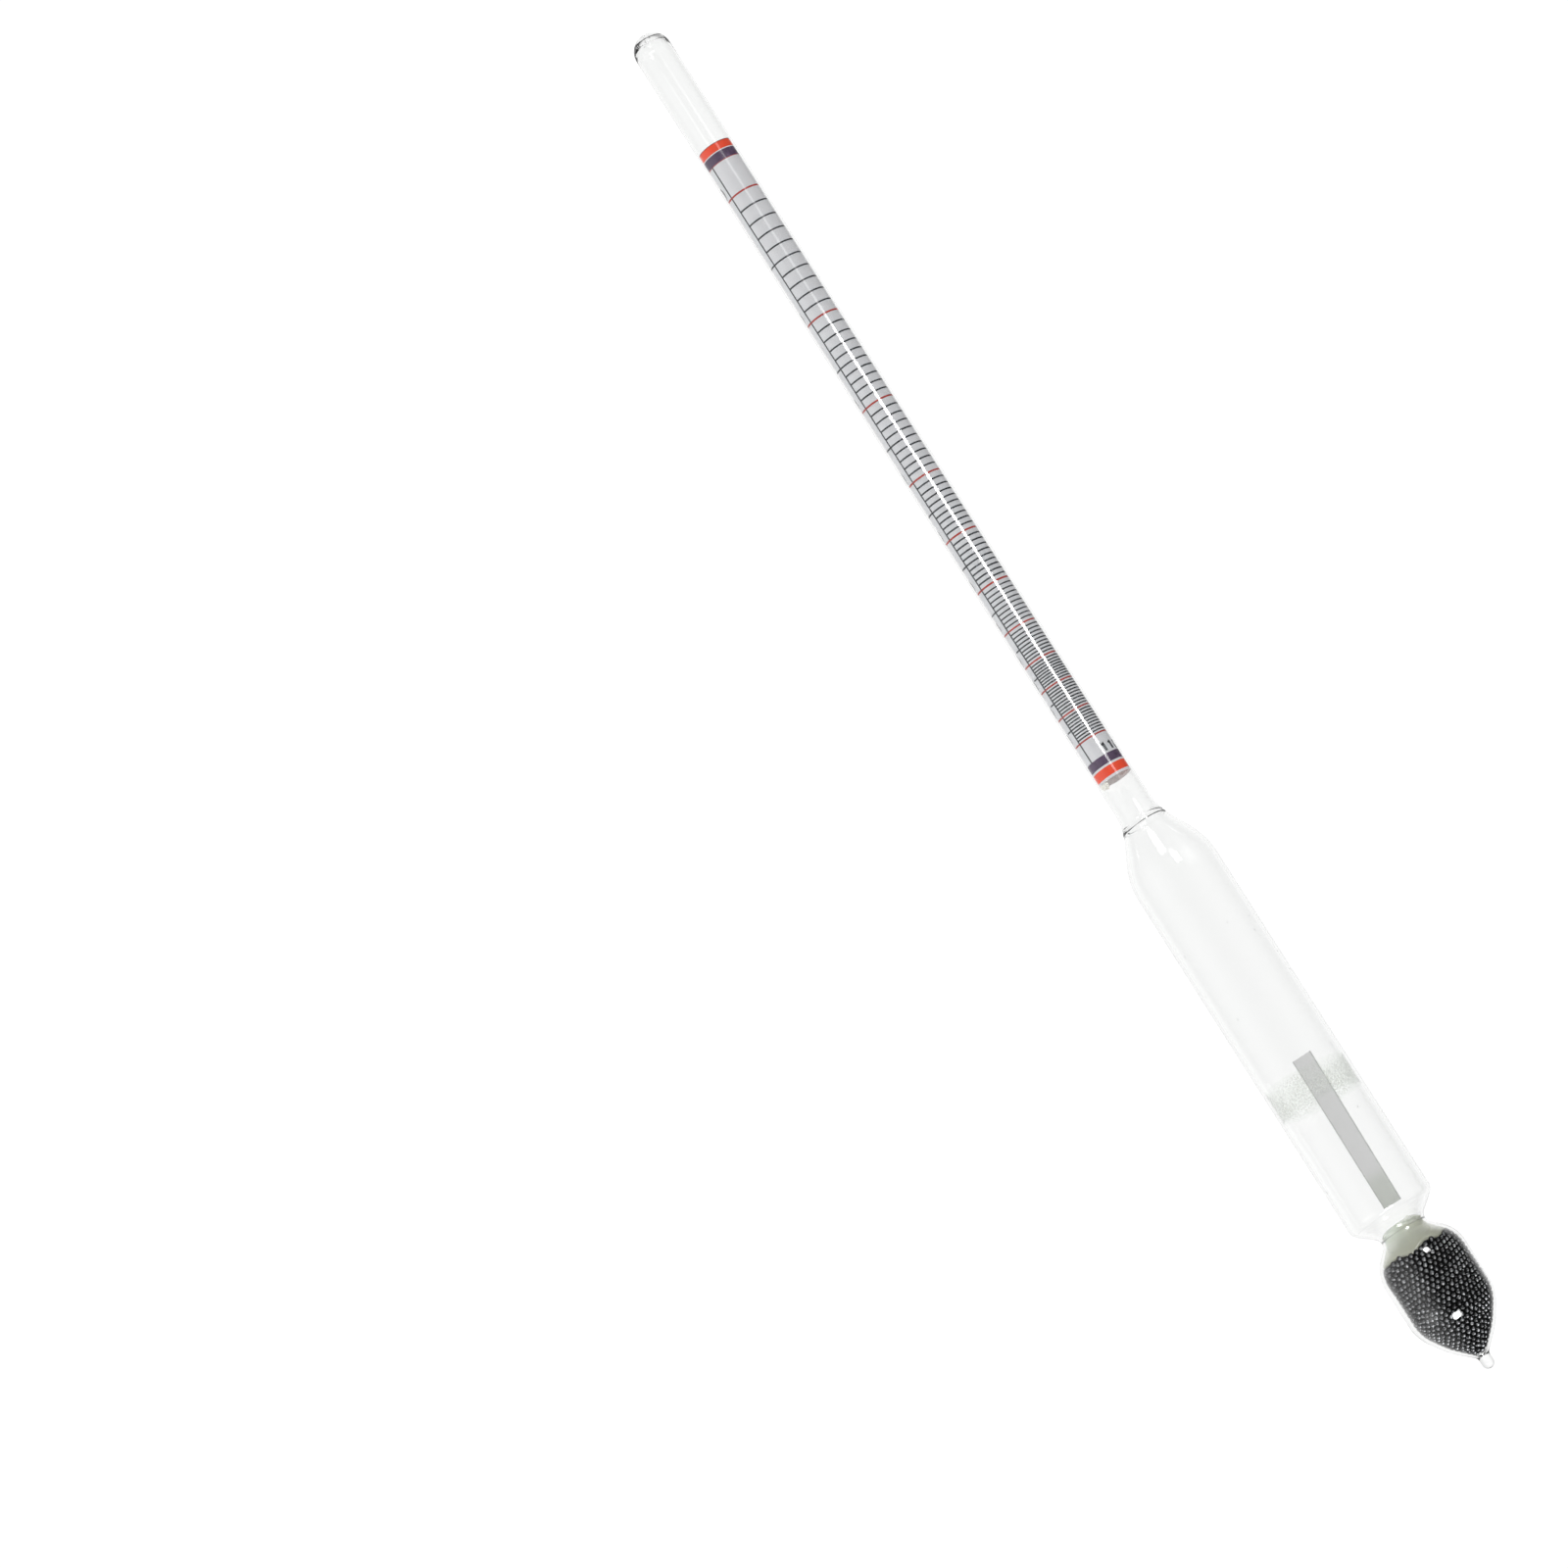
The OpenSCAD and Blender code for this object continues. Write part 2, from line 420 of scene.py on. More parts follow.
def strip_material():
    """White paper seen from its back, painted grey as painted shade, a little greener and darker at its lower
    end and darker along its long edges.
    """
    made, tree = blank("strip_paper")
    uv = coordinates(tree, "ShaderNodeUVMap", "UV")
    grain = noise(tree, 1500)
    # Painted shade: the white sheet's shaded back is painted grey.
    grey = mixed(tree, grain, rgba((0.67, 0.67, 0.67)), rgba((0.73, 0.73, 0.73)))
    # A greener, darker tone for the lower end.
    greener_lower_end = mixed(tree, grain, rgba((0.58, 0.60, 0.57)), rgba((0.65, 0.67, 0.63)))
    along = mixed(tree, ramp(tree, uv["Y"], 0.15, 0.26, 1.0, 0.0), grey, greener_lower_end)
    from_middle = maths(tree, "ABSOLUTE", maths(tree, "SUBTRACT", uv["X"], 0.5))
    edge = ramp(tree, from_middle, 0.43, 0.49, 0.0, 1.0)
    colour = mixed(tree, edge, along, rgba((0.48, 0.49, 0.48)))
    shader = add(tree, "ShaderNodeBsdfPrincipled",
                 {"Base Color": colour, "Roughness": 0.65, "Specular IOR Level": 0.3})
    out(tree, shader.outputs[0])
    return made


def floor_material():
    """Pale from above and clear from below, so that a low camera sees the object against the backdrop."""
    made, tree = blank("pale_floor")
    colour = mixed(tree, noise(tree, 8), rgba((0.86, 0.86, 0.86)), rgba((0.88, 0.88, 0.88)))
    shader = add(tree, "ShaderNodeBsdfPrincipled", {"Base Color": colour, "Roughness": 0.8})
    clear = add(tree, "ShaderNodeBsdfTransparent")
    under = add(tree, "ShaderNodeNewGeometry").outputs["Backfacing"]
    out(tree, faded(tree, shader, clear, under))
    return made


RESIN_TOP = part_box("ballast_resin")[1].z / MM
GLASS = glass_material("clear_glass", (0.994, 0.996, 0.994), (0.986, 0.992, 0.987))
PAPER_BACK = print_material("scale_paper_back", (0.98, 0.93, 0.91), (0.99, 0.95, 0.94), 800,
                            through=(0.98, 0.93, 0.92))
PAPER = print_material("scale_paper", (0.79, 0.82, 0.86), (0.85, 0.88, 0.91), 800,
                       through=(0.93, 0.88, 0.87))
BLACK = print_material("black_ink", (0.012, 0.014, 0.018), (0.030, 0.033, 0.040), 3000)
RED = print_material("red_ink", (0.36, 0.024, 0.016), (0.46, 0.04, 0.025), 3000)
NAVY = print_material("navy_ink", (0.068, 0.038, 0.085), (0.098, 0.056, 0.115), 1500)
ORANGE = print_material("red_orange_ink", (0.84, 0.050, 0.008), (0.87, 0.070, 0.015), 1500)
GLUE = print_material("dried_glue", (0.80, 0.78, 0.70), (0.90, 0.88, 0.82), 2500, 0.35)

# ---------------------------------------------------------------- glass

outer_line, inner_line = joined_outline()
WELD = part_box("stem_tube")[0].z / MM
TOP = cad_high.z / MM
FLOOR = float(inner_line[0][1])
DOME_TOP = float(inner_line[-1][1])
DOME_FOOT = DOME_TOP - 4.4  # where the bore starts to stretch into the dome
DOME_LIFT = 0.28
BULB_TOP = 32  # above the waist, where the float's straight tube begins


def ring_step(z):
    """How close the rings of points lie: closest at the weld, wide on the straight tubes."""
    if abs(z - WELD) < 1.9:
        return 0.07
    if z < BULB_TOP or WELD - 14 < z < WELD + 5 or z > TOP - 7:
        return 0.4
    return 5.0


def spaced(path):
    """The same line with its points no further apart than ring_step allows."""
    rows = [path[0]]
    for a, b in zip(path[:-1], path[1:]):
        here = a
        left = float(np.hypot(*(b - here)))
        while left > ring_step(here[1]) * 1.2:
            here = here + (b - here) / left * ring_step(here[1])
            left = float(np.hypot(*(b - here)))
            rows.append(here)
        rows.append(b)
    return np.array(rows)


outer_path = spaced(refined(outer_line, 3.0, 2.5))
inner_path = spaced(refined(inner_line, 3.0, 2.5))


def hump(z, centre, width):
    """A smooth bump, 1 at the centre."""
    return math.exp(-(((z - centre) / width) ** 2))


def bore_shift(z):
    """The bore of the ballast bulb lies a little to the right, so that its left wall is thicker."""
    return 0.2 * hump(z, 15.5, 7.5)


WAIST, TAPER = 27.5, 8.5  # heights of the waist and of the bulb's lower cone


def glass_swell(angle, z, inside):
    """How far flame-worked glass stands out from a true circle, in millimetres."""
    right = 0.5 + 0.5 * math.cos(angle)
    # The welded ring and a fainter one above it.
    ring = WELD - 0.1 + 0.2 * wobble(angle, 3)
    second = WELD + 0.65 + 0.3 * wobble(angle, 8)
    swell = (-0.17 if inside else 0.12) * hump(z, ring, 0.19) * (0.7 + 0.3 * wobble(angle, 5))
    swell += (-0.09 if inside else 0.06) * hump(z, second, 0.16) * (0.35 + 0.65 * right)
    # Fine ripples at the weld, a soft bump on the shoulder, and slow waves.
    swell += 0.018 * wobble(angle, 25, 9) * math.sin(9 * z) * hump(z, WELD + 0.2, 1.1)
    swell += 0.07 * right * hump(z, WELD - 3.6, 1.4)
    swell += 0.05 * wobble(angle, 11, 2) * hump(z, WELD - 6, 3.5)
    swell += 0.08 * wobble(angle, 14, 2) * hump(z, WAIST, 2.2)
    swell += 0.05 * wobble(angle, 17, 3) * hump(z, TAPER, 2.5)
    if inside:
        swell -= 0.08 * (1 - right) * hump(z, TOP - 3.2, 0.7)
    return swell


def glass_point(angle, r, z, inside):
    """A point of the glass, in metres, with its flaws: swellings, a leaning nib and an uneven dome."""
    if r > 0:
        r += glass_swell(angle, z, inside)
    x, y = r * math.cos(angle), r * math.sin(angle)
    if inside:
        x -= 0.12 * hump(z, TOP - 2.0, 1.6)
        z += DOME_LIFT * max(0.0, min(z - DOME_FOOT, DOME_TOP - z))
        x += bore_shift(z)
        z -= 0.6 * max(0.0, 1 - r) * hump(z, FLOOR, 0.3)
    else:
        x += 0.10 * hump(z, 1.0, 2.0)
    return (x * MM, y * MM, z * MM)


glass_verts, glass_faces = revolve(outer_path, lambda a, r, z: glass_point(a, r, z, False), False)
inner_verts, inner_faces = revolve(inner_path, lambda a, r, z: glass_point(a, r, z, True), True)


def append(verts, faces, more_verts, more_faces):
    """Adds one mesh's points and faces to another's."""
    base = len(verts)
    verts += more_verts
    faces += [tuple(i + base for i in f) for f in more_faces]


append(glass_verts, glass_faces, inner_verts, inner_faces)


def ball_mesh(subdivisions):
    """Points and triangles of a ball of radius 1."""
    bm = bmesh.new()
    bmesh.ops.create_icosphere(bm, subdivisions=subdivisions, radius=1.0)
    verts = np.array([v.co for v in bm.verts])
    faces = np.array([[v.index for v in f.verts] for f in bm.faces])
    bm.free()
    return verts, faces


BUBBLE_V, BUBBLE_F = ball_mesh(2)


def bubble(x, y, z, size, stretch=1.0):
    """A closed pocket of air in the glass: a small sphere facing inwards."""
    verts = [((x + v[0] * size) * MM, (y + v[1] * size) * MM, (z + v[2] * size * stretch) * MM)
             for v in BUBBLE_V]
    append(glass_verts, glass_faces, verts, [tuple(f[::-1]) for f in BUBBLE_F.tolist()])


dice = np.random.default_rng(41)
for _ in range(9):  # in the thick dome
    turn = dice.uniform(0, 2 * math.pi)
    out_by = dice.uniform(0.1, 1.5)
    bubble(out_by * math.cos(turn) - 0.5, out_by * math.sin(turn), TOP - dice.uniform(0.7, 1.3),
           dice.uniform(0.05, 0.14))

# The middle of the two walls, in which the next bubbles lie.
stem_wall_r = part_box("stem_tube")[1].x / MM - 0.15
float_wall_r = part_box("float_tube")[1].x / MM - 0.25
for _ in range(10):  # near the stem's top
    turn = dice.uniform(0, 2 * math.pi)
    bubble(stem_wall_r * math.cos(turn), stem_wall_r * math.sin(turn), TOP - dice.uniform(5, 16),
           dice.uniform(0.03, 0.06))
for _ in range(14):  # along the float
    turn = dice.uniform(0, 2 * math.pi)
    bubble(float_wall_r * math.cos(turn), float_wall_r * math.sin(turn), dice.uniform(33, 99),
           dice.uniform(0.04, 0.09), dice.uniform(1, 3))

glass = new_object("hydrometer_glass", mesh_of("hydrometer_glass", glass_verts, glass_faces, [GLASS]))
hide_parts("stem_tube", "float_tube")

# ---------------------------------------------------------------- printed scale

roll_low, roll_high = (v.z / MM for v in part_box("scale_roll"))


def reach(node):
    """Largest radius of a CAD node, in millimetres."""
    co = np.array([v.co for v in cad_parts[node].data.vertices])
    return float(np.hypot(co[:, 0], co[:, 1]).max()) / MM


# The roll's paper, pitch, turns and seam are those of the CAD part.
ROLL_R = reach("scale_roll")
PAPER_T = 0.1
ROLL_PITCH = 0.12
ROLL_TURNS = 1.2
ROLL_SEAM = 70.0
ROLL_SPINS = 145
SHARP = math.radians(30)  # edges that turn more than this are shaded sharp
FACING = 270.0  # direction of the reader, who looks along +Y


def roll_radius(spin):
    """Radius of the roll's outer face at an angle, in degrees, from its seam."""
    return ROLL_R - ROLL_PITCH * spin / 360


def on_roll(phi, z, lift=0.0):
    """A point of the printed face: phi is degrees to the left of the middle as the reader sees it."""
    spin = (FACING - phi - ROLL_SEAM) % 360
    r = roll_radius(spin) + lift
    a = math.radians(FACING - phi)
    return (r * math.cos(a) * MM, r * math.sin(a) * MM, z * MM)


def roll_mesh():
    """The rolled sheet: printed paper outside, the paper's back inside."""
    verts, faces = [], []
    spins = np.linspace(0, 360 * ROLL_TURNS, ROLL_SPINS)
    for spin in spins:
        a = math.radians(ROLL_SEAM + spin)
        for r in (roll_radius(spin), roll_radius(spin) - PAPER_T):
            for z in (roll_low, roll_high):
                verts.append((r * math.cos(a) * MM, r * math.sin(a) * MM, z * MM))
    for i in range(len(spins) - 1):
        a, b = 4 * i, 4 * (i + 1)
        faces += [(a, b, b + 1, a + 1), (a + 2, a + 3, b + 3, b + 2),
                  (a, a + 2, b + 2, b), (a + 1, b + 1, b + 3, a + 3)]
    end = 4 * (len(spins) - 1)
    faces += [(0, 1, 3, 2), (end, end + 2, end + 3, end + 1)]
    mesh = mesh_of("scale_paper_roll", verts, faces, [PAPER, PAPER_BACK])
    for i in range(len(spins) - 1):
        mesh.polygons[4 * i + 1].material_index = 1
    mesh.set_sharp_from_angle(angle=SHARP)
    return mesh


paper = new_object("scale_paper_roll", roll_mesh())
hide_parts("scale_roll")

INK_LIFT, INK_SINK = 0.006, 0.02  # how far ink stands above the paper and reaches into it
WIDEST_MITRE = 1.6  # how many times its width a line may spread at a corner


def unit_rows(v):
    return v / np.maximum(np.hypot(v[:, 0], v[:, 1]), 1e-9)[:, None]


class Ink:
    """Closed slabs of ink that follow the paper, gathered into one mesh."""

    def __init__(self):
        self.verts, self.faces = [], []

    def stroke(self, points, width, closed=False):
        """A line of even width along points (u, z); u runs to the right along the paper from its middle."""
        p = np.array(points, float)
        n = len(p)
        ahead = np.roll(p, -1, 0) - p
        behind = p - np.roll(p, 1, 0)
        if not closed:
            ahead[-1], behind[0] = behind[-1], ahead[0]
        a, b = unit_rows(ahead), unit_rows(behind)
        m = unit_rows(a + b)
        normal = np.stack([-m[:, 1], m[:, 0]], 1)
        mitre = np.minimum(1 / np.maximum((m * a).sum(1), 0.5), WIDEST_MITRE)
        spread = mitre[:, None] * width / 2
        base = len(self.verts)
        for q in (p + normal * spread, p - normal * spread):
            for lift in (INK_LIFT, -INK_SINK):
                self.verts += [on_roll(-math.degrees(u / ROLL_R), z, lift) for u, z in q]

        def row(k, i):
            """A vertex of row k: 0 left top, 1 left bottom, 2 right top, 3 right bottom."""
            return base + k * n + i % n

        for i in range(n if closed else n - 1):
            j = i + 1
            self.faces += [(row(0, i), row(2, i), row(2, j), row(0, j)),
                           (row(1, i), row(1, j), row(3, j), row(3, i)),
                           (row(0, i), row(0, j), row(1, j), row(1, i)),
                           (row(2, i), row(3, i), row(3, j), row(2, j))]
        if not closed:
            self.faces += [(row(0, 0), row(1, 0), row(3, 0), row(2, 0)),
                           (row(0, n - 1), row(2, n - 1), row(3, n - 1), row(1, n - 1))]

    def level(self, phi_from, phi_to, z, width, step=4.0):
        """A level line between two angles; phi falls to the right."""
        n = max(2, math.ceil(abs(phi_from - phi_to) / step) + 1)
        self.stroke([(-math.radians(f) * ROLL_R, z) for f in np.linspace(phi_from, phi_to, n)], width)

    def make(self, name, material):
        mesh = mesh_of(name, self.verts, self.faces, [material], smooth=False)
        made = new_object(name, faces_outwards(mesh))
        return made


def arc(cx, cy, rx, ry, start, end, n=9):
    return [(cx + rx * math.cos(math.radians(t)), cy + ry * math.sin(math.radians(t)))
            for t in np.linspace(start, end, n)]


CELL = 0.6  # width of a digit's cell that is 1 tall
DIGITS = {
    "0": [arc(0.3, 0.5, 0.25, 0.46, 90, 450, 17)],
    "1": [[(0.13, 0.78), (0.35, 0.96), (0.35, 0.04)]],
    "2": [arc(0.3, 0.71, 0.24, 0.25, 165, -35) + [(0.07, 0.04), (0.55, 0.04)]],
    "3": [arc(0.28, 0.73, 0.23, 0.23, 150, -80), arc(0.28, 0.28, 0.26, 0.24, 80, -150)],
    "4": [[(0.42, 0.04), (0.42, 0.96), (0.05, 0.30), (0.57, 0.30)]],
    "5": [[(0.51, 0.96), (0.14, 0.96), (0.10, 0.55)] + arc(0.28, 0.33, 0.26, 0.28, 120, -145)],
    "6": [arc(0.3, 0.31, 0.24, 0.27, 90, 450, 15), arc(0.52, 0.36, 0.46, 0.60, 175, 95)],
    "7": [[(0.06, 0.96), (0.54, 0.96), (0.25, 0.04)]],
    "8": [arc(0.3, 0.73, 0.20, 0.22, 90, 450, 15), arc(0.3, 0.28, 0.24, 0.25, 90, 450, 15)],
    "9": [arc(0.3, 0.69, 0.24, 0.27, 90, 450, 15), arc(0.08, 0.64, 0.46, 0.60, -5, -85)],
}


INK_STEP = 0.3


def closer(points, step):
    """The same line with its points no further apart than step, so that it can bend round the roll."""
    found = [points[0]]
    for a, b in zip(points, points[1:]):
        n = max(1, math.ceil(math.dist(a, b) / step))
        found += [(a[0] + (b[0] - a[0]) * k / n, a[1] + (b[1] - a[1]) * k / n) for k in range(1, n + 1)]
    return found


def number(ink, text, right, z, height, pitch, width):
    """Digits with their right edge at u = right and their feet at z."""
    for i, character in enumerate(reversed(text)):
        left = right - height * CELL - i * pitch
        for path in DIGITS[character]:
            closed = math.dist(path[0], path[-1]) < SAME
            points = closer([(left + x * height, z + y * height) for x, y in path], INK_STEP)
            ink.stroke(points[:-1] if closed else points, width, closed)


# Heights in millimetres of the tenths of alcohol by volume, above the mark for water.
TENTHS = [0.0, 5.6, 11.3, 16.6, 23.5, 32.4, 43.0, 55.3, 71.2, 89.8, 117.0]


def rise(percent):
    """Height of a percentage above the mark for water: a smooth curve through the tenths."""
    h = TENTHS
    i = min(int(percent // 10), 9)
    t = percent / 10 - i
    before = h[i - 1] if i > 0 else 2 * h[0] - h[1]
    after = h[i + 2] if i < 9 else 3 * h[10] - 3 * h[9] + h[8]
    a, b = h[i], h[i + 1]
    return cubic(t, a, b, (b - before) / 2, (after - a) / 2)


ZERO_MARK = roll_low + 8.0
AXIS_TOP, AXIS_LOW = 43.5, 40.0  # phi of the axis line at its two ends
TICK_END = -104.0  # phi of the right end of all marks
LEFT_END = 76.0  # phi of the left end of the long marks
FIFTH_END = 61.0  # the same for the fives where the marks are crowded, to keep clear of the numbers
CROWDED, FINE_BELOW = 40, 50
TICK, FINE_TICK, RED_TICK = 0.30, 0.25, 1.1  # widths, and how much wider the red ones are
AXIS_WIDTH = 0.26
NUMBER_EDGE, HUNDRED_EDGE = 66.0, 61.5  # phi of the right edge of the numbers, and of "100"
NUMBER_H, NUMBER_PITCH, NUMBER_PEN = 2.7, 1.85, 0.34

navy_top = (roll_high - 3.5, roll_high - 1.8)
navy_low = (roll_low + 2.5, roll_low + 4.1)
black, red, navy, orange = Ink(), Ink(), Ink(), Ink()


def band(ink, low, high):
    """A band right round the roll, up to its seam."""
    start = FACING - ROLL_SEAM - 1
    ink.level(start, start - 357, (low + high) / 2, high - low, 5.0)


band(orange, roll_high - 1.6, roll_high - 0.06)
band(navy, *navy_top)
band(navy, *navy_low)
band(orange, roll_low + 0.45, roll_low + 2.1)
band(navy, roll_high - 0.16, roll_high - 0.02)
band(red, navy_top[0] - 0.14, navy_top[0] - 0.01)


def axis_phi(z):
    return AXIS_LOW + (AXIS_TOP - AXIS_LOW) * (z - navy_low[1]) / (navy_top[0] - navy_low[1])


black.stroke([(-math.radians(axis_phi(z)) * ROLL_R, z) for z in (navy_low[1], navy_top[0])], AXIS_WIDTH)
for percent in range(101):
    z = ZERO_MARK + rise(percent)
    width = FINE_TICK if percent < FINE_BELOW else TICK
    if percent % 10 == 0:
        red.level(LEFT_END, TICK_END, z, width * RED_TICK)
        edge = HUNDRED_EDGE if percent == 100 else NUMBER_EDGE
        number(black, str(percent), -math.radians(edge) * ROLL_R, z + 0.4, NUMBER_H, NUMBER_PITCH, NUMBER_PEN)
    elif percent % 5 == 0:
        black.level(LEFT_END if percent > CROWDED else FIFTH_END, TICK_END, z, width)
    else:
        black.level(axis_phi(z), TICK_END, z, width)
# A small number that is all the lettering between the lowest mark and the bands.
number(black, "110", math.radians(82.5) * ROLL_R, navy_low[1] + 0.3, height=1.6, pitch=1.39, width=0.42)

black.make("scale_black_marks", BLACK)
red.make("scale_red_marks", RED)
navy.make("scale_navy_bands", NAVY)
orange.make("scale_red_bands", ORANGE)

# ---------------------------------------------------------------- glue at the roll's end

glue_low, glue_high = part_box("scale_glue")
glue_mid = (glue_low + glue_high) / 2 / MM
bore_r = float(np.interp(roll_low, inner_path[:, 1], inner_path[:, 0]))
roll_bore = roll_radius(360 * ROLL_TURNS) - PAPER_T - 0.01
# A lumpy ball, pressed flat where it meets the roll and the glass.
blob_v, blob_f = ball_mesh(4)
blob = []
for v in blob_v:
    s = 0.85 + 0.22 * math.sin(5.1 * v[0] + 3.7 * v[2]) * math.cos(4.3 * v[1] - 2.0 * v[2])
    p = Vector((glue_mid.x + v[0] * s, glue_mid.y + v[1] * s, glue_mid.z + v[2] * s * 0.8))
    limit = roll_bore if p.z > roll_low - 0.02 else bore_r - 0.02
    r = math.hypot(p.x, p.y)
    if r > limit:
        p.x, p.y = p.x * limit / r, p.y * limit / r
    blob.append(p * MM)
glue = new_object("scale_glue_dab", mesh_of("scale_glue_dab", blob, blob_f.tolist(), [GLUE]))
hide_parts("scale_glue")

# ---------------------------------------------------------------- name strip and its adhesive ring

strip_co = np.array([v.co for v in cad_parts["name_strip"].data.vertices]) / MM
strip_low, strip_high = float(strip_co[:, 2].min()), float(strip_co[:, 2].max())
strip_r = float(np.hypot(strip_co[:, 0], strip_co[:, 1]).max())
STRIP_T = 0.12
STRIP_COLUMNS, STRIP_ROWS = 16, 24
STRIP_FLARE = 1.3  # degrees by which each side spreads towards the top


def strip_edge(side, z):
    """Angle of a side edge of the CAD strip at a height, from its corner points."""
    a = np.degrees(np.arctan2(strip_co[:, 1], strip_co[:, 0]))
    low = a[strip_co[:, 2] < strip_low + 1.0]
    high = a[strip_co[:, 2] > strip_high - 1.0]
    pick = max if side > 0 else min
    t = (z - strip_low) / (strip_high - strip_low)
    return pick(low) + (pick(high) - pick(low)) * t


def strip_mesh():
    """A thin curved sheet between the CAD strip's edges, with a slight curl."""
    verts, faces, uvs = [], [], []
    for layer in (0, 1):
        for i in range(STRIP_ROWS + 1):
            v = i / STRIP_ROWS
            z = strip_low + (strip_high - strip_low) * v
            left, right = strip_edge(1, z) + STRIP_FLARE * v, strip_edge(-1, z) - STRIP_FLARE * v
            for j in range(STRIP_COLUMNS + 1):
                u = j / STRIP_COLUMNS
                a = math.radians(left + (right - left) * u)
                curl = 0.05 * math.sin(3.1 * v + 1.3 * u)
                r = strip_r - 0.06 + min(curl, 0.0) - layer * STRIP_T
                verts.append((r * math.cos(a) * MM, r * math.sin(a) * MM, z * MM))
                uvs.append((u, v))
    wide = STRIP_COLUMNS + 1
    side = wide * (STRIP_ROWS + 1)
    for i in range(STRIP_ROWS):
        for j in range(STRIP_COLUMNS):
            a = i * wide + j
            faces.append((a, a + wide, a + wide + 1, a + 1))
            faces.append((side + a, side + a + 1, side + a + wide + 1, side + a + wide))
    rim = [i * wide for i in range(STRIP_ROWS + 1)]
    rim += [STRIP_ROWS * wide + j for j in range(1, wide)]
    rim += [i * wide + wide - 1 for i in range(STRIP_ROWS - 1, -1, -1)]
    rim += [j for j in range(wide - 2, 0, -1)]
    for a, b in zip(rim, rim[1:] + rim[:1]):
        faces.append((a, side + a, side + b, b))
    mesh = mesh_of("name_strip_paper", verts, faces, [strip_material()])
    places = mesh.uv_layers.new(name="StripUV").data
    for loop in mesh.loops:
        places[loop.index].uv = uvs[loop.vertex_index]
    mesh.set_sharp_from_angle(angle=SHARP)
    return faces_outwards(mesh)


strip = new_object("name_strip_paper", strip_mesh())
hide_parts("name_strip")

ring_low, ring_high = (v.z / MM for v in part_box("strip_glue_band"))
RING_R = reach("strip_glue_band")
RING_T = 0.08
RING_TILT = 0.45


def ring_mesh():
    """A thin film round the wall, a little askew, with uneven edges and an uneven inner face."""
    verts, faces = [], []
    n, rows = 160, 14
    for layer in (0, 1):
        for i in range(rows + 1):
            for k in range(n):
                a = 2 * math.pi * k / n
                tilt = -RING_TILT * math.cos(a)
                low = ring_low + tilt + 0.16 * wobble(a, 31, 7)
                high = ring_high + tilt + 0.16 * wobble(a, 37, 7)
                z = low + (high - low) * i / rows
                r = RING_R - layer * RING_T * (0.8 + 0.2 * math.sin(9 * a + 2.5 * z))
                verts.append((r * math.cos(a) * MM, r * math.sin(a) * MM, z * MM))
    side = n * (rows + 1)
    for i in range(rows):
        for k in range(n):
            a, b = i * n + k, i * n + (k + 1) % n
            faces.append((a, b, b + n, a + n))
            faces.append((side + a, side + a + n, side + b + n, side + b))
    for k in range(n):
        a, b = k, (k + 1) % n
        faces.append((a, side + a, side + b, b))
        top = rows * n
        faces.append((top + a, top + b, side + top + b, side + top + a))
    mesh = mesh_of("adhesive_ring", verts, faces, [film_material()])
    places = mesh.uv_layers.new(name="RingUV").data
    for loop in mesh.loops:
        row = (loop.vertex_index % side) // n
        places[loop.index].uv = (loop.vertex_index % n / n, row / rows)
    return mesh


ring = new_object("adhesive_ring", ring_mesh())
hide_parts("strip_glue_band")

# ---------------------------------------------------------------- steel shot and resin

BALL_R = 0.475
# Close packing, in pitches: from row to row, from layer to layer, and a layer's sideways step.
ROW_PITCH, LAYER_PITCH, LAYER_STEP = 0.8660, 0.8165, 0.5774
HEAP = 0.4  # how far the edge of the shot may rise above its CAD height
SHOT_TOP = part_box("ballast_shot")[1].z / MM
SHOT_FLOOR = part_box("ballast_shot")[0].z / MM
cavity = inner_path[inner_path[:, 1] < SHOT_TOP + 8]


def offset_path(gap):
    """The cavity's outline moved inwards by gap, as (arc length, radius, height) rows."""
    p = cavity[cavity[:, 0] > 1e-4]
    t = np.gradient(p, axis=0)
    t /= np.hypot(t[:, 0], t[:, 1])[:, None]
    q = p + gap * np.stack([-t[:, 1], t[:, 0]], 1)
    q = q[(q[:, 0] > 0.02) & (q[:, 1] < SHOT_TOP + HEAP) & (q[:, 1] > SHOT_FLOOR + gap * 0.9)]
    q = q[np.argsort(q[:, 1])]
    s = np.concatenate([[0], np.cumsum(np.hypot(*np.diff(q, axis=0).T))])
    return s, q[:, 0], q[:, 1]


ROW_LEAN = 1.6  # how far the rows of balls rise from one side to the other


def shot_brim(angle):
    """The uneven top of the shot: no ball has its centre above this height."""
    return SHOT_TOP - 0.20 + 0.95 * wobble(angle, 63, 9)


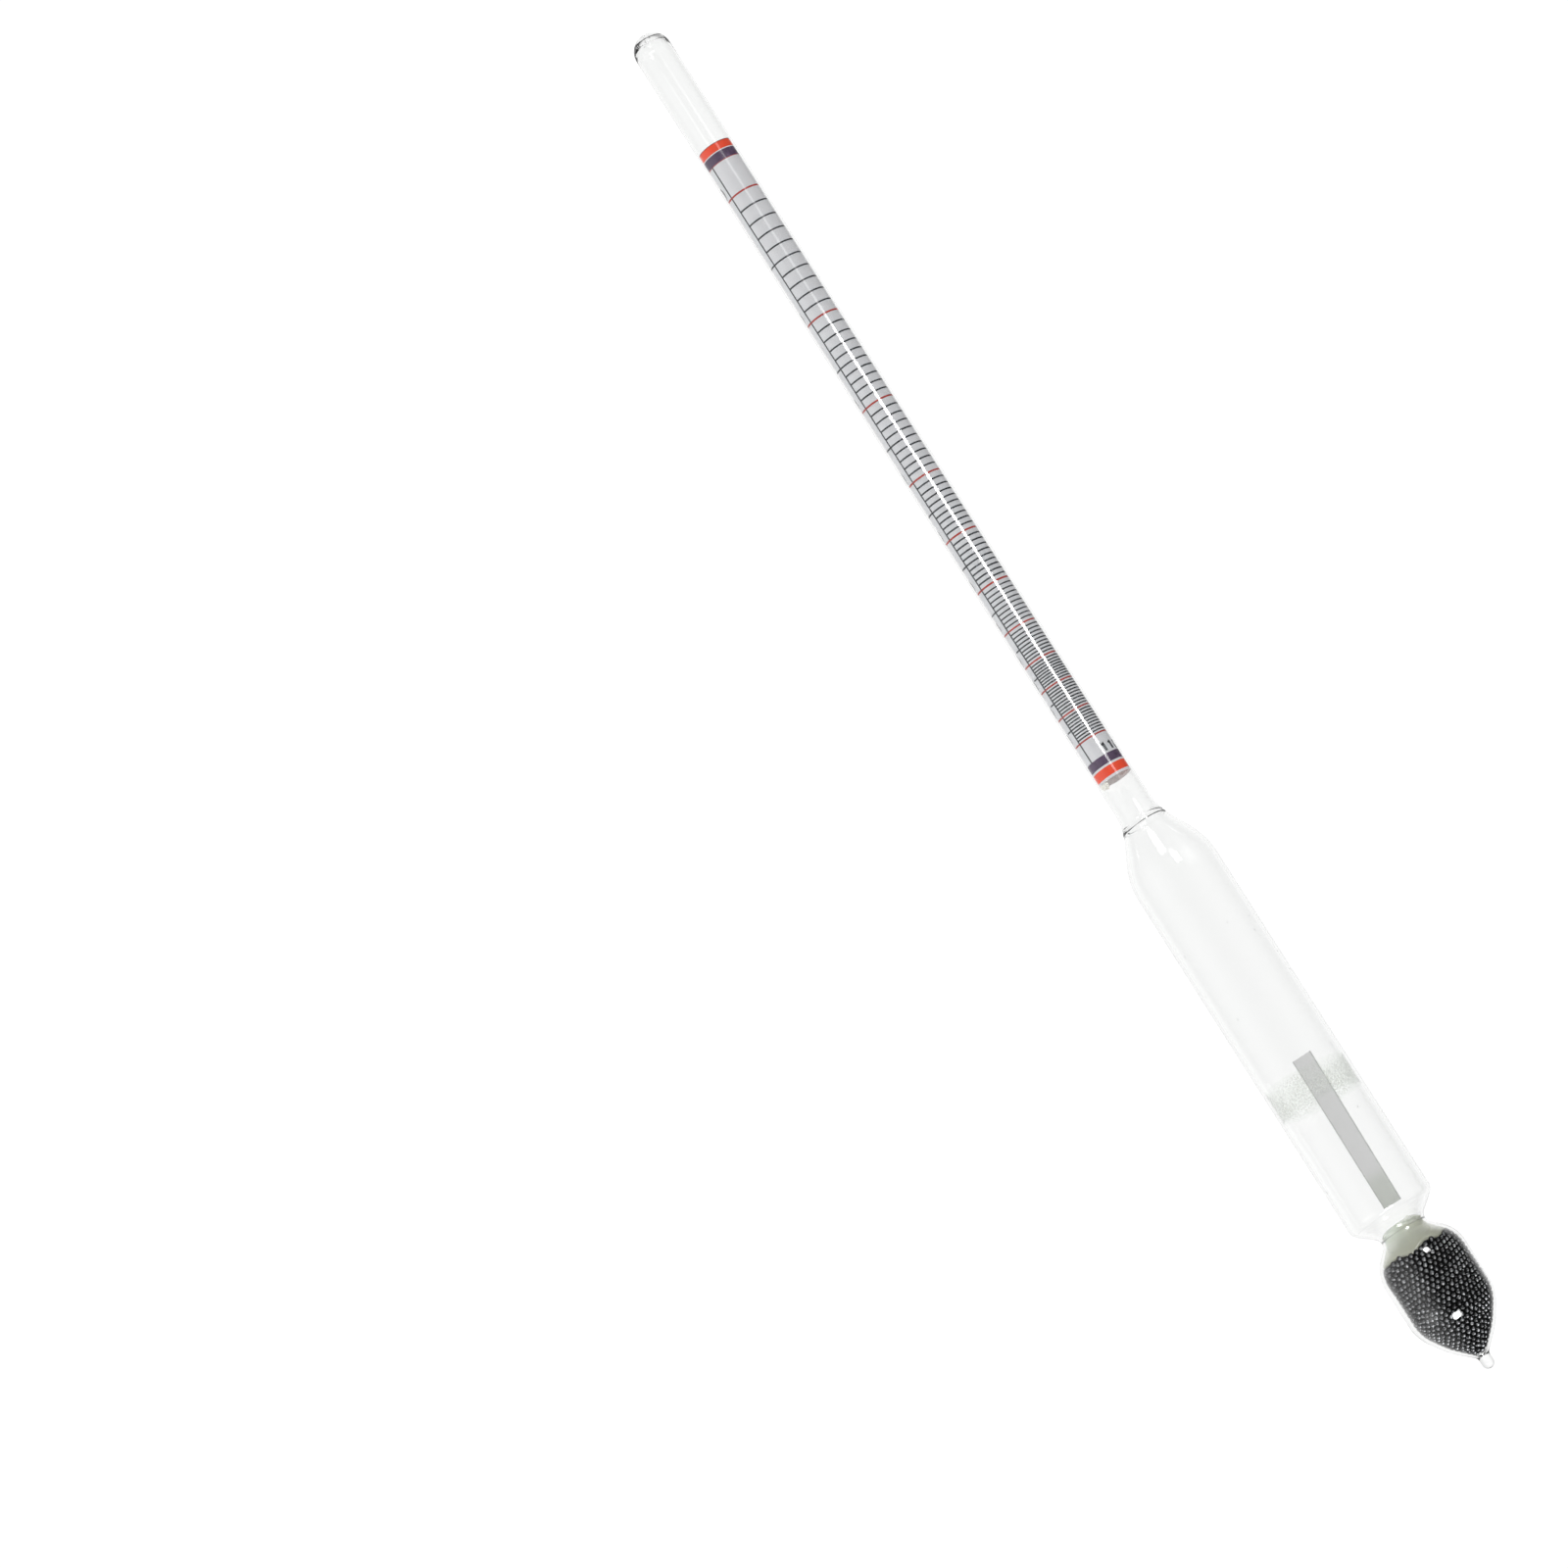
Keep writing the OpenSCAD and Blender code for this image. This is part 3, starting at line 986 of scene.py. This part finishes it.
def shell_of_balls(gap, pitch, rounds, seed):
    """Balls in level rows over a shell at a depth below the glass, shaken a little and pushed apart."""
    s, r, z = offset_path(gap)
    rng = np.random.default_rng(seed)
    at, turn = [], []
    for row, here in enumerate(np.arange(-ROW_LEAN, s[-1] + ROW_LEAN, pitch * ROW_PITCH)):
        around = max(1, int(2 * math.pi * np.interp(here, s, r) / pitch))
        start = (row % 2) * math.pi / around
        for k in range(around):
            angle = start + 2 * math.pi * k / around
            loose = 0.05 + 0.30 * (0.5 - 0.5 * math.cos(angle))
            place = here + ROW_LEAN * math.sin(angle + 0.6) + rng.normal(0, loose)
            shift = rng.normal(0, loose) / max(0.5, float(np.interp(here, s, r)))
            if 0 <= place <= s[-1]:
                at.append(place)
                turn.append(angle + shift)
    at, turn = np.clip(at, 0, s[-1]), np.array(turn)
    count = len(at)
    for _ in range(rounds):
        rr, zz = np.interp(at, s, r), np.interp(at, s, z)
        p = np.stack([rr * np.cos(turn), rr * np.sin(turn), zz], 1).astype(np.float32)
        d = p[:, None, :] - p[None, :, :]
        dist = np.sqrt((d**2).sum(-1)) + np.eye(count, dtype=np.float32) * 99
        push = np.clip(pitch * 1.02 - dist, 0, None) / dist  # only from balls that are too near
        move = (d * push[..., None]).sum(1) * 0.42
        small = 0.02
        slope_r = (np.interp(at + small, s, r) - np.interp(at - small, s, r)) / (2 * small)
        slope_z = (np.interp(at + small, s, z) - np.interp(at - small, s, z)) / (2 * small)
        radial = move[:, 0] * np.cos(turn) + move[:, 1] * np.sin(turn)
        at = np.clip(at + radial * slope_r + move[:, 2] * slope_z, 0, s[-1])
        turn = turn + (-move[:, 0] * np.sin(turn) + move[:, 1] * np.cos(turn)) / np.maximum(rr, 0.3)
    rr, zz = np.interp(at, s, r), np.interp(at, s, z)
    keep = zz < np.array([shot_brim(t) for t in turn])
    return np.stack([rr * np.cos(turn), rr * np.sin(turn), zz], 1)[keep]


def core_balls(gap):
    """Balls of the middle, stacked in close-packed layers; nobody sees them from outside."""
    s, r, z = offset_path(gap)
    pitch = 2 * BALL_R * 1.04
    found = []
    layer = 0
    level = float(z.min())
    while level < z.max():
        limit = float(np.interp(level, z, r))
        shift = (layer % 2) * 0.5
        n = int(limit / pitch) + 2
        for i in range(-n, n + 1):
            for j in range(-n, n + 1):
                x = pitch * (i + 0.5 * (j % 2) + shift)
                y = pitch * (j * ROW_PITCH + shift * LAYER_STEP)
                if math.hypot(x, y) < limit:
                    found.append((x, y, level))
        level += pitch * LAYER_PITCH
        layer += 1
    return np.array(found)


def balls(name, centres, subdivisions, material):
    v, f = ball_mesh(subdivisions)
    centres = centres.copy()
    centres[:, 0] += [bore_shift(z) for z in centres[:, 2]]
    verts = (centres[:, None, :] + v[None] * BALL_R).reshape(-1, 3) * MM
    triangles = (f[None] + (np.arange(len(centres)) * len(v))[:, None, None]).reshape(-1, 3)
    made = new_object(name, triangle_mesh(name, verts, triangles, material))
    return made


steel = steel_material()
skin = shell_of_balls(BALL_R + 0.02, 0.985, 60, 5)
under = shell_of_balls(BALL_R + 0.84, 0.99, 40, 6)
half = skin[:, 2] > np.median(skin[:, 2])
upper = balls("shot_outer_upper", skin[half], 3, steel)
balls("shot_outer_lower", skin[~half], 3, steel)
balls("shot_second_layer", under, 2, steel)
balls("shot_core", core_balls(BALL_R + 1.75), 1, steel)
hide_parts("ballast_shot")


def cavity_r(z):
    """Radius just inside the glass."""
    return float(np.interp(z, inner_path[:, 1], inner_path[:, 0])) - 0.03


def resin_mesh():
    """The cast plug: it follows the glass, its foot runs between the balls and it narrows above the waist."""
    rows, n = 34, 96
    narrowest, cone_foot, cone = 27.6, 28.0, 0.9
    foot_rows, foot_round = 4, 0.45
    verts, faces = [], []
    for i in range(rows + 1):
        for k in range(n):
            a = 2 * math.pi * k / n
            foot = shot_brim(a) - 0.15 + 0.2 * wobble(a, 51, 12)
            brim = RESIN_TOP + 0.30 * wobble(a, 57, 4)
            z = foot + (brim - foot) * i / rows
            x, y, _ = glass_point(a, cavity_r(z), z, True)
            r = min(math.hypot(x, y) / MM, cavity_r(z) + 0.02) - 0.01
            r -= foot_round * max(0.0, 1 - i / foot_rows) ** 2
            if z > narrowest:
                r = min(r, cavity_r(narrowest) - cone * max(0.0, z - cone_foot))
            verts.append((r * math.cos(a) * MM, r * math.sin(a) * MM, z * MM))
    for i in range(rows):
        for k in range(n):
            a, b = i * n + k, i * n + (k + 1) % n
            faces.append((a, b, b + n, a + n))
    # The two ends are closed by shrinking rings; the lower one bulges up and the upper one sags.
    for start, sag, sign in ((0, 0.3, 1), (rows * n, -0.7, -1)):
        ring_before = list(range(start, start + n))
        for share in (0.8, 0.55, 0.28):
            now = []
            for k in range(n):
                x, y, z = verts[start + k]
                drop = sag * (1 - share**2) * MM
                now.append(len(verts))
                verts.append((x * share, y * share, z + drop))
            for k in range(n):
                a, b = ring_before[k], ring_before[(k + 1) % n]
                c, d = now[(k + 1) % n], now[k]
                faces.append((a, d, c, b) if sign > 0 else (a, b, c, d))
            ring_before = now
        verts.append((0, 0, sum(verts[i][2] for i in ring_before) / n))
        centre = len(verts) - 1
        for k in range(n):
            a, b = ring_before[k], ring_before[(k + 1) % n]
            faces.append((a, centre, b) if sign > 0 else (a, b, centre))
    return faces_outwards(mesh_of("resin_plug", verts, faces, [resin_material()]))


resin = new_object("resin_plug", resin_mesh())
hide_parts("ballast_resin")

# ---------------------------------------------------------------- floor, camera and light

FLOOR_R, FLOOR_SIDES = 1.5, 64
turns = np.linspace(0, 2 * math.pi, FLOOR_SIDES, endpoint=False)
floor_v = [(FLOOR_R * math.cos(t), FLOOR_R * math.sin(t), 0.0) for t in turns]
floor_mesh = mesh_of("floor", floor_v, [tuple(range(FLOOR_SIDES))], [floor_material()])
floor = new_object("floor", floor_mesh, body=None)
floor.visible_glossy = False
floor.visible_transmission = False
floor.visible_shadow = False

# The camera stands almost level before the object and is rolled, so that the stem leans to the left.
CAMERA_AT = Vector((0, -0.97815, -0.06791))
AIM = Vector((-0.04929, 0, 0.15047))
ROLL = -31.844
LENS, SENSOR = 132.03, 36

camera_data = bpy.data.cameras.new("camera")
camera_data.lens = LENS
camera_data.sensor_width = SENSOR
camera_data.clip_start, camera_data.clip_end = 0.05, 20
camera = bpy.data.objects.new("camera", camera_data)
bpy.context.scene.collection.objects.link(camera)
facing = (AIM - CAMERA_AT).to_track_quat("-Z", "Y").to_matrix()
camera.matrix_world = (Matrix.Translation(CAMERA_AT)
                       @ (facing @ Matrix.Rotation(math.radians(ROLL), 3, "Z")).to_4x4())
bpy.context.scene.camera = camera


def world_light():
    """White behind the object, grey towards the sides and dim behind the camera, whichever way it looks."""
    world = bpy.data.worlds.new("studio")
    bpy.context.scene.world = world
    world.use_nodes = True
    tree = world.node_tree
    tree.nodes.clear()
    at = add(tree, "ShaderNodeTexCoord").outputs["Camera"]
    d = add(tree, "ShaderNodeVectorMath", {0: at}, operation="NORMALIZE").outputs[0]
    d = add(tree, "ShaderNodeSeparateXYZ", {0: d}).outputs
    c, s = math.cos(math.radians(-ROLL)), math.sin(math.radians(-ROLL))
    # Across the object and along its axis, as it lies in the picture.
    x = maths(tree, "ADD", product(tree, d["X"], c), product(tree, d["Y"], s))
    y = maths(tree, "SUBTRACT", product(tree, d["Y"], c), product(tree, d["X"], s))
    right = ramp(tree, x, 0.12, 0.60, 1.0, 0.80)
    left = ramp(tree, x, -0.65, -0.25, 0.84, 1.0)
    along = ramp(tree, maths(tree, "ABSOLUTE", y), 0.35, 0.85, 1.0, 0.80)
    ahead = ramp(tree, d["Z"], -0.20, 0.60, 0.42, 1.075)
    clear = product(tree, right, left, along, ahead)
    # What shows in a reflection: bright on the left, dark on the right, white straight behind the object.
    mirrored = ramp(tree, d["Z"], 0.30, 0.78, ramp(tree, x, -0.95, -0.15, 0.55, 0.04), 1.0)
    # What lights dull surfaces: more from the left.
    soft = ramp(tree, x, -1.0, 1.0, 1.36, 0.66, smooth=False)
    path = add(tree, "ShaderNodeLightPath").outputs
    by_mirror = maths(tree, "GREATER_THAN", path["Glossy Depth"], 0.5)
    value = switched(tree, by_mirror, clear, mirrored)
    value = switched(tree, path["Is Diffuse Ray"], value, soft)
    value = maths(tree, "MAXIMUM", value, path["Is Camera Ray"])
    back = add(tree, "ShaderNodeBackground", {"Color": (1, 1, 1, 1), "Strength": value})
    add(tree, "ShaderNodeOutputWorld", {"Surface": back.outputs[0]})
    world.cycles.sampling_method = "NONE"


world_light()

# The lamps hang on a rig that turns about the object's axis to stay with the camera.
rig = bpy.data.objects.new("lamp_rig", None)
bpy.context.scene.collection.objects.link(rig)
rig.location = (0, 0, (cad_low.z + cad_high.z) / 2)
turn_with = rig.constraints.new("LOCKED_TRACK")
turn_with.target = camera
turn_with.track_axis = "TRACK_NEGATIVE_Y"
turn_with.lock_axis = "LOCK_Z"
FAR = 1.1


def softbox(name, azimuth, elevation, distance, wide, tall, radiance, fade):
    """A rectangular lamp with faded edges, for highlights only.

    azimuth is degrees to the right of the camera; wide and tall are degrees as seen from the rig.
    """
    light = bpy.data.lights.new(name, "AREA")
    light.shape = "RECTANGLE"
    light.size = 2 * distance * math.tan(math.radians(wide / 2))
    light.size_y = 2 * distance * math.tan(math.radians(tall / 2))
    light.energy = radiance * math.pi * light.size * light.size_y
    light.use_nodes = True
    tree = light.node_tree
    tree.nodes.clear()
    uv = coordinates(tree, "ShaderNodeTexCoord", "UV")
    glow = 1.0
    for axis in ("X", "Y"):
        glow = product(tree, glow, ramp(tree, to_edge(tree, uv[axis]), 0.0, fade, 0.0, 1.0))
    shine = add(tree, "ShaderNodeEmission", {"Strength": glow})
    add(tree, "ShaderNodeOutputLight", {"Surface": shine.outputs[0]})
    lamp = bpy.data.objects.new(name, light)
    bpy.context.scene.collection.objects.link(lamp)
    a, e = math.radians(azimuth), math.radians(elevation)
    away = Vector((math.sin(a) * math.cos(e), -math.cos(a) * math.cos(e), math.sin(e)))
    lamp.parent = rig
    lamp.location = away * distance
    lamp.rotation_mode = "QUATERNION"
    lamp.rotation_quaternion = away.to_track_quat("Z", "Y")
    lamp.visible_camera = False
    lamp.visible_diffuse = False


# The white streak along the stem and the shoulder, and its faint upper end.
softbox("streak_lamp", 24.4, 17.4, 0.42, 17, 19.8, 32, 0.24)
softbox("veil_lamp", 24, 29, 0.46, 19, 17, 2.1, 0.45)
# The bright spots on the balls, and the paler left side of the bulb.
softbox("lower_lamp", -2, -49, FAR, 23, 18, 72, 0.4)
softbox("left_lamp", -62, -17, FAR, 60, 42, 0.8, 0.45)

bpy.context.scene.view_settings.view_transform = "Standard"
